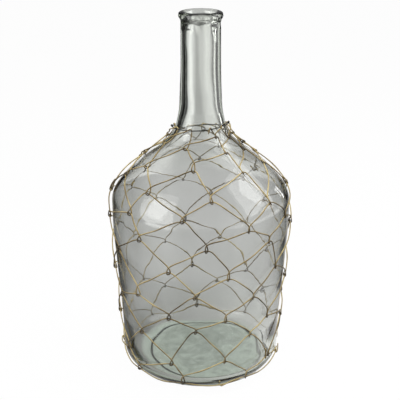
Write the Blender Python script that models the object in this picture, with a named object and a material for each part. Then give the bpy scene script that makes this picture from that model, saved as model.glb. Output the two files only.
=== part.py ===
"""A hand-blown glass bottle in a knotted net of cane.

Metres, +Z up. The origin is on the bottle's axis, at the level that its foot ring rests on. The front, from which
angles are counted, is -Y, and a positive angle is to the right of it.

The bottle is turned from one outline. The net is one spiral of half hitches that climbs to the left: each hitch
hangs on the crown of the arch one turn lower, and the next arch springs from it. The lowest turn hangs on a ring
round the heel, and the topmost arches are hooked over a wire round the foot of the neck. A place on the net is an
angle in degrees, a distance along the glass up from the foot, and a distance off the glass.
"""

import math

import bpy
import numpy as np

# The glass, from the foot to the lip
FOOT_RADIUS = 0.072
FOOT_WIDTH = 0.007
PUNT_HEIGHT = 0.005
HEEL_RADIUS = 0.1026
HEEL_HEIGHT = 0.026
BELLY_RADIUS = 0.1123
SIDE_HEIGHT = 0.196
SHOULDER_HEIGHT = 0.123
NECK_RADIUS = 0.0241
NECK_FLARE = 0.0027
NECK_LENGTH = 0.1045
LIP_HEIGHT = 0.0105
LIP_PROUD = 0.0025
RIM_WIDTH = 0.0024
# The shoulder's points: share of the way out from the neck's foot to the belly, share of the shoulder's height
SHOULDER_SHARES = (
    (0.987, 0.106), (0.884, 0.228), (0.725, 0.350), (0.537, 0.472), (0.304, 0.593),
    (0.123, 0.715), (0.062, 0.797), (0.032, 0.878), (0.0, 1.0),
)
# The lip's points outside and inside the rim: share of the bulge there, share of the lip's height
LIP_OUTER_SHARES = ((0.55, 0.12), (0.95, 0.36), (1.0, 0.58), (0.70, 0.84))
LIP_INNER_SHARES = ((0.30, 0.84), (0.0, 0.50))
PUNT_STEPS = 3
HEEL_STEPS = 6
SIDE_STEPS = 6
NECK_STEPS = 4
BOTTLE_SEGMENTS = 40

# The glass's walls: share of the distance along the glass at which each wall is reached
BASE_THICKNESS = 0.010
BODY_WALL = 0.0038
NECK_WALL = 0.0076
WALL_PLACE_SHARES = (0.0, 0.18, 0.62, 0.80)

# The cane, and the clear gap that two touching pieces keep
CANE_DIAMETER = 0.0021
CLEARANCE = 0.0003
WRAP_EASE_SHARE = 1.15  # a wrap's radius over the tightest one, because it bends in straight runs
WRAP_STEPS = 4
EYE_HALF_WIDTH = 0.0017
EYE_LENGTH = 0.010
CROWN_HALF_WIDTH = 0.0030
CROWN_HALF_ANGLE = 1.8  # what a crown has besides, so that it is wider where the bottle is
LEG_BOW_SHARE = 0.08
LEG_LIFT = 0.0006
CROSSING_SHARES = (0.6, -0.35)  # where the ends of a hitch cross, in wraps out from the strand that it holds
STUB_LENGTH = 0.006
SPLICE_HALF_WIDTH = 0.0029
# The net hangs a little slack on one side, between these shares of its height
SLACK = 0.0030
SLACK_ANGLE = -95.0
SLACK_PLACE_SHARES = (0.12, 0.35, 0.70, 0.85)

# The ring round the heel
RING_SHARE = 0.098
RING_SAG = 0.005
RING_STEPS = 6
RING_START_ANGLE = 28.0
RING_TIE_ANGLE = 14.0

# The wire at the foot of the neck, in a front and a back half that are twisted together at both sides
WIRE_DIAMETER = 0.0014
WIRE_PLACE_SHARE = 0.793
WIRE_RISE = 0.0010
WIRE_DIP = 0.0015
WIRE_TILT = 0.0060
WIRE_TILT_ANGLE = 24.0
WIRE_JOINT_ANGLES = (84.0, -86.0)
WIRE_JOINT_HALF_ANGLE = 1.5
WIRE_STEPS = 22
TWIST_LENGTH = 0.007
TWIST_TURNS = 1.25
TWIST_STEPS = 8
TWIST_LEAN = 0.6

# The net's hitches, in the spiral's order. A row holds those that show from the front in one turn, as angle in
# degrees, height share of the net and eye length share, then the number of hitches evenly spaced round the back.
TURN_SHARES = (
    (((75, 0.098, 0.7), (33, 0.098, 1.0), (-12, 0.098, 1.2), (-49, 0.098, 0.6)), 5),
    (((54, 0.138, 0.8), (16.5, 0.179, 0.7), (-20, 0.168, 0.7), (-61, 0.149, 0.8)), 5),
    (((34.5, 0.261, 0.6), (-3.5, 0.301, 0.5), (-43, 0.256, 0.5), (-82, 0.246, 0.8)), 4),
    (((50, 0.306, 1.1), (16, 0.340, 1.1), (-21, 0.344, 0.7)), 6),
    (((35, 0.406, 0.7), (-3.5, 0.434, 0.5), (-43.5, 0.402, 1.3), (-76, 0.436, 0.8)), 4),
    (((54, 0.484, 0.8), (17, 0.497, 1.3), (-19.5, 0.518, 0.8)), 6),
    (((45.5, 0.593, 0.9), (3, 0.602, 0.9), (-39, 0.609, 0.7)), 5),
    (((63, 0.650, 0.8), (29, 0.654, 0.8), (-11, 0.694, 0.6), (-48, 0.685, 0.6)), 5),
    (((50, 0.716, 1.0), (7, 0.757, 0.9), (-40, 0.762, 0.9)), 6),
    (((41, 0.839, 0.9), (-8, 0.865, 1.3), (-60, 0.843, 0.8)), 6),
    (((36, 0.923, 1.2), (-25, 0.944, 0.6), (-74, 0.943, 0.7)), 5),
    (((62, 0.972, 0.5), (30, 0.987, 0.5)), 0),
)
HIDDEN_EYE_SHARE = 0.6
HITCHES_PER_TURN = 9
SPLICED_HITCHES = (9, 41, 64, 68)
# How far right of its hitch a cane hooks over the wire, and after which hitches that differs
HOOK_LEAD_ANGLE = 1.5
ODD_HOOK_LEAD_ANGLES = {89: 12.0, 95: -13.0, 96: -9.5}
FULL_TURN = 360.0


def smooth_step(share):
    """0 to 1 with no slope at either end: 3 share squared less 2 share cubed."""
    return share * share * (3 - 2 * share)


def side_outline():
    """The glass's outer side, from the edge of the foot ring to under the lip, as (radius, height) points."""
    points = []
    for step in range(HEEL_STEPS + 1):
        turn = math.pi / 2 * step / HEEL_STEPS
        points.append((
            FOOT_RADIUS + (HEEL_RADIUS - FOOT_RADIUS) * math.sin(turn),
            HEEL_HEIGHT * (1 - math.cos(turn)),
        ))
    for step in range(1, SIDE_STEPS + 1):
        share = step / SIDE_STEPS
        points.append((
            HEEL_RADIUS + (BELLY_RADIUS - HEEL_RADIUS) * smooth_step(share),
            HEEL_HEIGHT + SIDE_HEIGHT * share,
        ))
    neck_foot = NECK_RADIUS + NECK_FLARE
    belly_height = HEEL_HEIGHT + SIDE_HEIGHT
    for out, up in SHOULDER_SHARES:
        points.append((neck_foot + (BELLY_RADIUS - neck_foot) * out, belly_height + SHOULDER_HEIGHT * up))
    for step in range(1, NECK_STEPS + 1):
        share = step / NECK_STEPS
        points.append((
            NECK_RADIUS + NECK_FLARE * (1 - share) ** 3,
            belly_height + SHOULDER_HEIGHT + NECK_LENGTH * share,
        ))
    return np.array(points)


def along_and_normals(outline):
    """The distance along an outline to each of its points, and its outward normal at each."""
    steps = np.diff(outline, axis=0)
    along = np.concatenate([[0.0], np.cumsum(np.hypot(*steps.T))])
    slope = np.gradient(outline, along, axis=0)
    slope /= np.hypot(*slope.T)[:, None]
    return along, np.column_stack([slope[:, 1], -slope[:, 0]])


# What the sizes above give
SIDE = side_outline()
ALONG, NORMALS = along_and_normals(SIDE)
WIRE_HEIGHT = HEEL_HEIGHT + SIDE_HEIGHT + SHOULDER_HEIGHT * WIRE_PLACE_SHARE
NET_LENGTH = float(np.interp(WIRE_HEIGHT, SIDE[:, 1], ALONG))
CANE_WRAP = (CANE_DIAMETER + CLEARANCE) * WRAP_EASE_SHARE
WIRE_WRAP = ((CANE_DIAMETER + WIRE_DIAMETER) / 2 + CLEARANCE) * WRAP_EASE_SHARE
CANE_OFF = CANE_DIAMETER / 2 + CLEARANCE + CANE_WRAP
WIRE_OFF = CANE_DIAMETER / 2 + CLEARANCE + WIRE_WRAP


def bottle_outline():
    """The whole outline of the turned bottle: up the outside, over the lip and down the inside."""
    foot = FOOT_RADIUS - FOOT_WIDTH
    bore = NECK_RADIUS - NECK_WALL
    lip_foot = SIDE[-1, 1]
    rim_height = lip_foot + LIP_HEIGHT
    rim_middle = (bore + NECK_RADIUS + LIP_PROUD) / 2
    rim_inner = rim_middle - RIM_WIDTH / 2
    under = [(foot * step / PUNT_STEPS) for step in range(PUNT_STEPS + 1)]
    points = [(radius, PUNT_HEIGHT * (1 - (radius / foot) ** 2)) for radius in under]
    points.extend(map(tuple, SIDE))
    points.extend((NECK_RADIUS + LIP_PROUD * out, lip_foot + LIP_HEIGHT * up) for out, up in LIP_OUTER_SHARES)
    points.append((rim_middle + RIM_WIDTH / 2, rim_height))
    points.append((rim_inner, rim_height))
    points.extend((bore + (rim_inner - bore) * out, lip_foot + LIP_HEIGHT * up) for out, up in LIP_INNER_SHARES)
    walls = np.interp(
        ALONG, np.multiply(WALL_PLACE_SHARES, ALONG[-1]), (BASE_THICKNESS, BODY_WALL, BODY_WALL, NECK_WALL)
    )
    points.extend(map(tuple, (SIDE - NORMALS * walls[:, None])[::-1]))
    points.extend((radius, BASE_THICKNESS + PUNT_HEIGHT * (1 - (radius / foot) ** 2)) for radius in under[-2::-1])
    return points


def turned_mesh(name, outline, segments):
    """A closed mesh turned from an outline whose first and last points are on the axis."""
    rings = outline[1:-1]
    verts = [(0.0, 0.0, outline[0][1])]
    for radius, height in rings:
        for step in range(segments):
            turn = math.tau * step / segments
            verts.append((radius * math.cos(turn), radius * math.sin(turn), height))
    verts.append((0.0, 0.0, outline[-1][1]))
    last = len(verts) - 1
    top = 1 + (len(rings) - 1) * segments
    faces = []
    for step in range(segments):
        after = (step + 1) % segments
        faces.append((0, 1 + after, 1 + step))
        for ring in range(len(rings) - 1):
            low = 1 + ring * segments
            high = low + segments
            faces.append((low + step, low + after, high + after, high + step))
        faces.append((top + step, top + after, last))
    mesh = bpy.data.meshes.new(name)
    mesh.from_pydata(verts, [], faces)
    mesh.validate()
    mesh.shade_smooth()
    return mesh


def on_glass(angle, along, off):
    """The point at an angle, a distance along the glass and a distance off it."""
    radius, height = (np.interp(along, ALONG, SIDE[:, axis]) for axis in (0, 1))
    out, up = (np.interp(along, ALONG, NORMALS[:, axis]) for axis in (0, 1))
    length = math.hypot(out, up)
    reach = radius + off * out / length
    turn = math.radians(angle)
    return (reach * math.sin(turn), -reach * math.cos(turn), height + off * up / length)


def beside(angle, along, across):
    """The angle that lies a distance across, to the right, of an angle at this height."""
    return angle + math.degrees(across / float(np.interp(along, ALONG, SIDE[:, 0])))


def cane_off(angle, along):
    """How far off the glass a crown is: room for a wrap behind it, and more on the slack side of the net."""
    places = np.multiply(SLACK_PLACE_SHARES, NET_LENGTH)
    share = float(np.interp(along, places, (0.0, 1.0, 1.0, 0.0)))
    return CANE_OFF + SLACK * share * max(0.0, math.cos(math.radians(angle - SLACK_ANGLE))) ** 2


def net_hitches():
    """The hitches in the spiral's order, as (angle, height along the glass, eye length). The angles run down."""
    seen = [
        [(angle - FULL_TURN * turn, share, eye) for angle, share, eye in row]
        for turn, (row, _) in enumerate(TURN_SHARES)
    ]
    shares = []
    for turn, row in enumerate(seen):
        shares.extend(row)
        hidden = TURN_SHARES[turn][1]
        for step in range(1, hidden + 1):
            part = step / (hidden + 1)
            first, second = row[-1], seen[turn + 1][0]
            height = RING_SHARE if turn == 0 else first[1] + (second[1] - first[1]) * part
            shares.append((first[0] + (second[0] - first[0]) * part, height, HIDDEN_EYE_SHARE))
    return [(angle, share * NET_LENGTH, eye * EYE_LENGTH) for angle, share, eye in shares]


HITCHES = net_hitches()


def wire_along(angle):
    """The wire's height along the glass. It is tilted, high at the front right, and dips at the front and back."""
    tilt = WIRE_TILT * math.cos(math.radians(angle - WIRE_TILT_ANGLE))
    return NET_LENGTH + WIRE_RISE + tilt - WIRE_DIP * math.cos(2 * math.radians(angle))


def ring_along(angle):
    """The heel ring's height along the glass. It is level at each hitch on it and sags between them."""
    places = sorted(hitch[0] % FULL_TURN for hitch in HITCHES[:HITCHES_PER_TURN])
    places = [places[-1] - FULL_TURN, *places, places[0] + FULL_TURN]
    share = float(np.interp(angle % FULL_TURN, places, range(len(places))))
    return RING_SHARE * NET_LENGTH - RING_SAG * math.sin(math.pi * share) ** 2


def wrap_route(angle, along, off, radius, up):
    """Half a turn round a strand: `up` is -1 to go down outside it and up behind, 1 to go up behind it and over."""
    route = []
    for step in range(WRAP_STEPS + 1):
        turn = math.pi * step / WRAP_STEPS
        across = up * EYE_HALF_WIDTH * math.cos(turn)
        route.append((
            beside(angle, along, across),
            along + up * radius * math.sin(turn),
            off - up * radius * math.cos(turn),
        ))
    return route


def hitch_place(number, shift=0.0):
    """A hitch's angle, height along the glass and distance off it, and its eye's length."""
    angle, along, eye = HITCHES[number]
    return beside(angle, along, shift), along, cane_off(angle, along), eye


def hitch_route(number, shift=0.0):
    """Down to a hitch's eye, round the crown under it and up again. The ends cross at the top of the eye."""
    angle, along, off, eye = hitch_place(number, shift)
    front, back = (off + CANE_WRAP * share for share in CROSSING_SHARES)
    wrap = wrap_route(angle, along, off, CANE_WRAP, -1)
    return [(angle, along + eye, front), *wrap, (angle, along + eye, back)]


def crown_route(number):
    """The level crown of an arch, where hitch `number` hangs on it."""
    angle, along, off, _ = hitch_place(number)
    half = CROWN_HALF_ANGLE + beside(0.0, along, CROWN_HALF_WIDTH)
    return [(angle + half, along, off), (angle - half, along, off)]


def hook_route(number):
    """Up behind the wire, over it and down outside it, after hitch `number`."""
    angle = HITCHES[number][0] + ODD_HOOK_LEAD_ANGLES.get(number, HOOK_LEAD_ANGLE)
    return wrap_route(angle, wire_along(angle), WIRE_OFF, WIRE_WRAP, 1)


def leg_middle(start, end):
    """The middle of an arch's leg, bowed upwards and off the glass."""
    angle, along, off = ((a + b) / 2 for a, b in zip(start, end))
    return (angle, along + LEG_BOW_SHARE * abs(end[1] - start[1]), off + LEG_LIFT)


def arch_route(number):
    """The arch from hitch `number` to the next: up to the crown, or to the hook that stands for it, and down."""
    after = number + HITCHES_PER_TURN
    if after < len(HITCHES):
        crown = [(place[0] + FULL_TURN, *place[1:]) for place in crown_route(after)]
        crown.insert(0, leg_middle(hitch_route(number)[-1], crown[0]))
    else:
        crown = hook_route(number)
    return [*crown, leg_middle(crown[-1], hitch_route(number + 1)[0])]


def cane_route(first, last):
    """One cane, from its start at hitch `first` to its end at hitch `last`, as places on the net."""
    top = len(HITCHES) - 1
    route = hitch_route(first, -SPLICE_HALF_WIDTH if first else 0.0)
    angle, along, off = route[0]
    route[0] = (beside(angle, along, -EYE_HALF_WIDTH), along + STUB_LENGTH, off)
    for number in range(first, last):
        if number + HITCHES_PER_TURN > top:
            route.pop()  # a hooked cane leaves its hitch on the side that it went up
        route.extend(arch_route(number))
        spliced = number + 1 == last < top
        route.extend(hitch_route(number + 1, SPLICE_HALF_WIDTH if spliced else 0.0))
    route.pop()
    if last == top:
        route.extend(hook_route(last))
        angle, along, off = route[-1]
        route.append((beside(angle, along, -EYE_HALF_WIDTH), along - STUB_LENGTH, off))
    else:
        angle, along, off = route[-1]
        route.append((beside(angle, along, EYE_HALF_WIDTH), along + STUB_LENGTH, off + LEG_LIFT))
    return route


def ring_route():
    """The ring round the heel, from its start to the half hitch that ties its end round that start."""
    turns = [hitch[0] for hitch in HITCHES[1:HITCHES_PER_TURN]] + [HITCHES[0][0] - FULL_TURN]
    turns.append(HITCHES[1][0] - FULL_TURN)
    angles = [RING_START_ANGLE, RING_TIE_ANGLE]
    for before, after in zip([RING_TIE_ANGLE, *turns[1:-1]], turns[1:]):
        angles.extend(np.linspace(before, after, RING_STEPS + 1)[1:])
    route = [(angle, ring_along(angle), cane_off(angle, ring_along(angle))) for angle in angles]
    for angle in (RING_START_ANGLE, (RING_START_ANGLE + RING_TIE_ANGLE) / 2):
        along = ring_along(angle) + CANE_WRAP
        route.append((angle - FULL_TURN, along, cane_off(angle, along)))
    along = ring_along(RING_TIE_ANGLE)
    off = cane_off(RING_TIE_ANGLE, along)
    tie = wrap_route(RING_TIE_ANGLE - FULL_TURN, along, off, CANE_WRAP, -1)
    tie = [(2 * (RING_TIE_ANGLE - FULL_TURN) - angle, along, off) for angle, along, off in tie]
    angle, along, off = tie[-1]
    return [*route, *tie, (angle, along + STUB_LENGTH, off)]


def wire_joint(angle):
    """Where the wire's halves meet, the way their twisted ends point, and the way along the wire there."""
    foot = np.array(on_glass(angle, wire_along(angle), WIRE_OFF))
    out = np.array([math.sin(math.radians(angle)), -math.cos(math.radians(angle)), 0.0])
    axis = out * TWIST_LEAN + np.array([0.0, 0.0, 1.0])
    along = np.array([-out[1], out[0], 0.0])
    return foot, axis / np.linalg.norm(axis), along


def twisted_end(angle, side):
    """One wire's end at a joint: a helix round the twist's axis that starts on the wire's own side."""
    foot, axis, along = wire_joint(angle)
    across = np.cross(axis, along)
    radius = (WIRE_DIAMETER + CLEARANCE) / 2 * WRAP_EASE_SHARE
    points = []
    for step in range(TWIST_STEPS + 1):
        share = step / TWIST_STEPS
        turn = math.tau * TWIST_TURNS * share
        spoke = along * math.cos(turn) + across * math.sin(turn)
        points.append(tuple(foot + axis * (TWIST_LENGTH * share + WIRE_DIAMETER / 2) + spoke * radius * side))
    return points


def wire_points(start, end):
    """Half of the neck wire, from its twisted end at one joint to that at the other."""
    side = 1 if end > start else -1
    angles = np.linspace(start + side * WIRE_JOINT_HALF_ANGLE, end - side * WIRE_JOINT_HALF_ANGLE, WIRE_STEPS)
    middle = [on_glass(angle, wire_along(angle), WIRE_OFF) for angle in angles]
    return [*twisted_end(start, side)[::-1], *middle, *twisted_end(end, -side)]


def tube(name, points, diameter, material):
    """A round strand through points, with closed ends."""
    curve = bpy.data.curves.new(name, "CURVE")
    curve.dimensions = "3D"
    curve.fill_mode = "FULL"
    curve.bevel_depth = diameter / 2
    curve.bevel_resolution = 0
    curve.use_fill_caps = True
    spline = curve.splines.new("POLY")
    spline.points.add(len(points) - 1)
    for point, place in zip(spline.points, points):
        point.co = (*place, 1.0)
    curve.materials.append(material)
    strand = bpy.data.objects.new(name, curve)
    bpy.context.collection.objects.link(strand)
    return strand


def plain_material(name, colour, roughness, metallic=0.0, transmission=0.0):
    material = bpy.data.materials.new(name)
    material.use_nodes = True
    shader = material.node_tree.nodes["Principled BSDF"]
    shader.inputs["Base Color"].default_value = (*colour, 1.0)
    shader.inputs["Roughness"].default_value = roughness
    shader.inputs["Metallic"].default_value = metallic
    shader.inputs["Transmission Weight"].default_value = transmission
    return material


def make_bottle():
    mesh = turned_mesh("glass_bottle", bottle_outline(), BOTTLE_SEGMENTS)
    mesh.materials.append(plain_material("smoky_glass", (0.70, 0.76, 0.73), 0.03, transmission=1.0))
    bottle = bpy.data.objects.new("glass_bottle", mesh)
    bpy.context.collection.objects.link(bottle)


def make_net():
    cane = plain_material("cane", (0.52, 0.40, 0.23), 0.6)
    starts = (0, *SPLICED_HITCHES)
    ends = (*SPLICED_HITCHES, len(HITCHES) - 1)
    for number, (first, last) in enumerate(zip(starts, ends), 1):
        points = [on_glass(*place) for place in cane_route(first, last)]
        tube(f"cane_strand_{number}", points, CANE_DIAMETER, cane)
    tube("base_ring", [on_glass(*place) for place in ring_route()], CANE_DIAMETER, cane)


def make_neck_wire():
    wire = plain_material("black_wire", (0.03, 0.03, 0.03), 0.45, metallic=0.8)
    right, left = WIRE_JOINT_ANGLES
    tube("neck_wire_front", wire_points(left, right), WIRE_DIAMETER, wire)
    tube("neck_wire_back", wire_points(right, left + FULL_TURN), WIRE_DIAMETER, wire)


def main():
    for item in list(bpy.data.objects):
        bpy.data.objects.remove(item, do_unlink=True)
    make_bottle()
    make_net()
    make_neck_wire()


main()
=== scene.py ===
"""A hand-blown glass bottle in a knotted net of cane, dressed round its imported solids.

Metres, +Z up, in the solids' frame: the bottle's axis is Z, its foot ring rests at zero height, and the
front, from which angles are counted, is -Y. A place on the net is an angle in degrees, a distance along the
glass up from the foot, and a distance off the glass.
"""

import math

import bpy
import numpy as np
from bpy.props import FloatProperty, FloatVectorProperty, PointerProperty
from mathutils import Euler, Matrix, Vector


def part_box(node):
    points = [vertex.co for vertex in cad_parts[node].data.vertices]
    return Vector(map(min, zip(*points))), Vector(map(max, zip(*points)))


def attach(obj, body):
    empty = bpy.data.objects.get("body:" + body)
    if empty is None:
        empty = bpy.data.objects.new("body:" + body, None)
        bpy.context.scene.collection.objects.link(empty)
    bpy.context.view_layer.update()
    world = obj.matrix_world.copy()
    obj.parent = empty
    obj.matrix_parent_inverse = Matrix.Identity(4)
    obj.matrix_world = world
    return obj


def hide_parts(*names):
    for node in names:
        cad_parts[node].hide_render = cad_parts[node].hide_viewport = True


bl_info = {
    "name": "Bottle in a Cane Net",
    "version": (1, 0, 0),
    "blender": (4, 5, 0),
    "location": "View3D > Sidebar > Bottle",
    "description": "Blows a smoky glass bottle and ties a net of cane round it",
    "category": "Object",
}

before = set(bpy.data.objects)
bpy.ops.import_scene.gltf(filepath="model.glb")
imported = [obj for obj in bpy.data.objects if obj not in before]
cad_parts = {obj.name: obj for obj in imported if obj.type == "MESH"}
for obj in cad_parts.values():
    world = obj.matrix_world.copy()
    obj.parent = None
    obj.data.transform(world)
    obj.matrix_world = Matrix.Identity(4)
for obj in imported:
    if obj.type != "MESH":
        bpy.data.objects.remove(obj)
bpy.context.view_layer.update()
GLASS_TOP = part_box("glass_bottle")[1]

# The glass's outline: how the rows of its mesh are shared out, and the points that its curves run through
HEEL_POINTS = 6
SIDE_POINTS = 6
NECK_POINTS = 4
OUTLINE_STEPS = 10
RELAX_ROUNDS = 8
UNDER_ROWS = 22
RING_COLUMNS = 164
# The shoulder's points, as shares of the way out from the neck's foot to the belly and of its height
SHOULDER_SHARES = (
    (0.987, 0.106), (0.884, 0.228), (0.725, 0.350), (0.537, 0.472), (0.304, 0.593),
    (0.123, 0.715), (0.062, 0.797), (0.032, 0.878), (0.0, 1.0),
)
# The lip's points outside and inside the rim: share of the bulge there, share of the lip's height
LIP_OUTER_SHARES = ((0.0, 0.0), (0.30, 0.16), (0.90, 0.38), (1.0, 0.60), (0.70, 0.86))
LIP_INNER_SHARES = ((0.30, 0.84), (0.0, 0.50))
# The walls: share of the distance along the glass at which each wall is reached
WALL_PLACE_SHARES = (0.0, 0.18, 0.62, 0.80)
# The glass's unevenness: its wave lengths, and how strongly the outside and the inside follow it
RIPPLE_LENGTHS = (0.11, 0.055)
OUTSIDE_RIPPLE_SHARE = 0.5
INSIDE_RIPPLE_SHARE = 1.2
# The folds under the lip: how far down they reach, and their wave lengths
FOLD_REACH = 0.016
FOLD_LENGTHS = (0.016, 0.009)
# The slide off the axis near the floor: how high it reaches, and how far the inside goes with the foot
FOOT_SLIDE_REACH = 0.008
INSIDE_SLIDE_REACH = 0.045
INSIDE_SLIDE_SHARE = 0.3
# The glass's skin: how its ripples are stretched along the axis, its colour and how it bends light
SKIN_SCALE = (1.0, 1.0, 0.45)
GLASS_COLOUR = (0.925, 0.925, 0.925, 1.0)
GLASS_IOR = 1.5

# Where the ends of a hitch cross, in wraps out from the strand that it holds
CROSSING_SHARES = (0.6, -0.35)
# How far the leg of an arch bows upwards, as a share of its height
LEG_BOW_SHARE = 0.06
# The level part of an arch is wider by this on each side, however wide the bottle is there
CROWN_HALF_ANGLE = 1.2
WRAP_STEPS = 4
# The net hangs a little slack on one side: its angle, and where up the net that begins, is full and ends
SLACK_ANGLE = -95.0
SLACK_PLACE_SHARES = (0.12, 0.35, 0.70, 0.85)
# The ring round the heel: its height as a share of the net's, its points from one hitch to the next, and the
# angles at which it starts and is tied
RING_SHARE = 0.098
RING_STEPS = 6
RING_START_ANGLE = 28.0
RING_TIE_ANGLE = 14.0
# The net's hitches, in the spiral's order. A row holds those that show from the front in one turn, as angle
# in degrees, height share of the net and eye length share, then the number of hitches evenly spaced round
# the back.
TURN_SHARES = (
    (((75, 0.098, 0.7), (33, 0.098, 1.0), (-12, 0.098, 1.2), (-49, 0.098, 0.6)), 5),
    (((54, 0.138, 0.8), (16.5, 0.179, 0.7), (-20, 0.168, 0.7), (-61, 0.149, 0.8)), 5),
    (((34.5, 0.261, 0.6), (-3.5, 0.301, 0.5), (-43, 0.256, 0.5), (-82, 0.246, 0.8)), 4),
    (((50, 0.306, 1.1), (16, 0.340, 1.1), (-21, 0.344, 0.7)), 6),
    (((35, 0.406, 0.7), (-3.5, 0.434, 0.5), (-43.5, 0.402, 1.3), (-76, 0.436, 0.8)), 4),
    (((54, 0.484, 0.8), (17, 0.497, 1.3), (-19.5, 0.518, 0.8)), 6),
    (((45.5, 0.593, 0.9), (3, 0.602, 0.9), (-39, 0.609, 0.7)), 5),
    (((63, 0.650, 0.8), (29, 0.654, 0.8), (-11, 0.694, 0.6), (-48, 0.685, 0.6)), 5),
    (((50, 0.716, 1.0), (7, 0.757, 0.9), (-40, 0.762, 0.9)), 6),
    (((41, 0.839, 0.9), (-8, 0.865, 1.3), (-60, 0.843, 0.8)), 6),
    (((36, 0.923, 1.2), (-25, 0.944, 0.6), (-74, 0.943, 0.7)), 5),
    (((62, 0.972, 0.5), (30, 0.987, 0.5)), 0),
)
HIDDEN_EYE_SHARE = 0.6
# How many hitches after the start of an arch comes the one that hangs on it
HITCHES_PER_TURN = 9
# The hitches at which one cane ends and the next begins
SPLICED_HITCHES = (9, 41, 64, 68)
# How far right of its hitch a cane hooks over the wire, and after which hitches that differs
HOOK_LEAD_ANGLE = 1.5
ODD_HOOK_LEAD_ANGLES = {89: 12.0, 95: -13.0, 96: -9.5}
FULL_TURN = 360.0
# The cane's wandering, its thickness and how oval it is, with the wave lengths, and the reach of a knot's
# stain and painted shade
SWAY_LENGTHS = (0.09, 0.05)
THICKNESS_LENGTHS = (0.09, 0.03, 0.012)
THICKNESS_SHARE = 0.05
OVAL_SHARE = 0.08
KNOT_STAIN_AND_SHADE_WRAPS = 1.6
# The cane's tone: how much its stretches, its knots' stain and painted shade, and the painted light by the
# way it faces count beside its fibres, and the darkest and palest tones. Painted light makes it paler where
# it faces up and a little inwards.
STRETCH_WEIGHT = 2.2
KNOT_STAIN_AND_SHADE_WEIGHT = -0.85
PAINTED_LIGHT_WEIGHT = 0.45
UPWARD_PAINTED_LIGHT = (0.0, 0.0, 1.2)
OUTWARD_PAINTED_LIGHT = (-0.45, -0.45, -0.45)
TONE_RANGE = (1.15, 2.35)
TONE_SHARES = (0.05, 0.5, 0.85)
FIBRE_SCALE = (7.0, 110.0, 1.0)

# The wire at the foot of the neck: how far up the shoulder it lies, where it is highest, where its halves
# meet and how far from there each half begins to turn up
WIRE_PLACE_SHARE = 0.793
WIRE_TILT_ANGLE = 24.0
WIRE_JOINT_ANGLES = (84.0, -86.0)
WIRE_JOINT_HALF_ANGLE = 1.5
WIRE_STEPS = 22
# The twisted ends: their turns, their points and how far they lean out
TWIST_TURNS = 1.25
TWIST_STEPS = 8
TWIST_LEAN = 0.6
# A ply's thickness beside half the wire's, how much it is worn, and the wave lengths of the wear
PLY_SHARE = 1.06
PLY_WEAR_SHARE = 0.12
PLY_WEAR_LENGTHS = (0.008, 0.003)
# How much brighter the rubbed iron is than its black skin
BARE_IRON = 3.5

# What the glass shows of the floor and the room: how bright they are by the share of the way round, from the
# front over the left, the back and the right. The floor has zones of painted light and shade, from beside
# the bottle outwards.
BESIDE_FLOOR_SHARES = (
    (0.0, 0.7), (0.25, 0.45), (0.33, 0.22), (0.38, 0.45), (0.48, 0.6), (0.55, 0.66), (0.61, 0.72),
    (0.66, 0.8), (0.78, 1.15), (0.9, 0.9), (1.0, 0.7),
)
NEAR_FLOOR_SHARES = (
    (0.0, 0.33), (0.04, 0.15), (0.06, 0.12), (0.08, 0.36), (0.12, 0.6), (0.15, 0.47), (0.19, 0.54),
    (0.25, 0.5), (0.29, 0.3), (0.31, 0.1), (0.33, 0.04), (0.388, 0.04), (0.405, 0.2), (0.425, 0.43),
    (0.45, 0.64), (0.47, 0.68), (0.55, 0.68), (0.58, 0.6), (0.60, 0.48), (0.62, 0.3), (0.635, 0.06),
    (0.68, 0.06), (0.70, 0.34), (0.75, 0.78), (0.79, 1.03), (0.81, 0.85), (0.88, 0.8), (0.90, 0.5),
    (0.94, 0.34), (1.0, 0.33),
)
FAR_FLOOR_SHARES = (
    (0.0, 0.5), (0.075, 0.5), (0.095, 2.0), (0.12, 3.4), (0.19, 3.4), (0.205, 0.3), (0.24, 0.05),
    (0.36, 0.0), (0.40, 0.15), (0.435, 0.0), (0.455, 1.15), (0.48, 1.2), (0.488, 0.7), (0.502, 0.7),
    (0.508, 1.0), (0.54, 1.15), (0.56, 0.6), (0.575, 0.05), (0.64, 0.05), (0.66, 1.2), (0.70, 2.0),
    (0.80, 2.4), (0.88, 2.0), (0.92, 1.0), (0.95, 0.7), (1.0, 0.5),
)
ROOM_SHARES = (
    (0.0, 0.9), (0.08, 0.9), (0.13, 1.2), (0.17, 1.2), (0.22, 0.8), (0.27, 0.25), (0.31, 0.03),
    (0.42, 0.03), (0.50, 0.25), (0.62, 0.15), (0.67, 0.4), (0.72, 0.9), (0.78, 1.4), (0.86, 1.3),
    (0.93, 1.0), (1.0, 0.9),
)
# Each zone begins to take over from the one before at the first radius, and has taken over at the second
FLOOR_ZONES = (
    ((0.078, 0.092), BESIDE_FLOOR_SHARES),
    ((0.17, 0.30), NEAR_FLOOR_SHARES),
    ((0.85, 1.15), FAR_FLOOR_SHARES),
)
# Under the bottle: greenish wisps of painted light that the glass has gathered, and painted shade darkest in
# the middle
UNDER_FLOOR_COLOUR = (0.72, 0.80, 0.74)
CENTRE_SHADE = 2.4
WISP_LEVELS = ((0.38, 0.60), (0.75, 1.0))
# The painted contact shadow where the foot ring stands: the radii where it begins, is dark from, is dark to
# and ends, how bright it is, and where its middle lies on Y
FOOT_RING_RADII = (0.0725, 0.0745, 0.0762, 0.0785)
FOOT_RING_LEVEL = 0.05
FOOT_RING_Y = -0.004
# A brightness above every level here. Ramps end at 1, so that they hold shares of it.
BRIGHTEST = 4.5
# How bright the room is overhead as the glass shows it, and the upward part of a direction where that begins
OVERHEAD_LEVEL = 0.6
OVERHEAD_FROM = 0.3
# How bright the air is where it lights the pieces
AIR_LEVEL = 0.55
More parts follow.
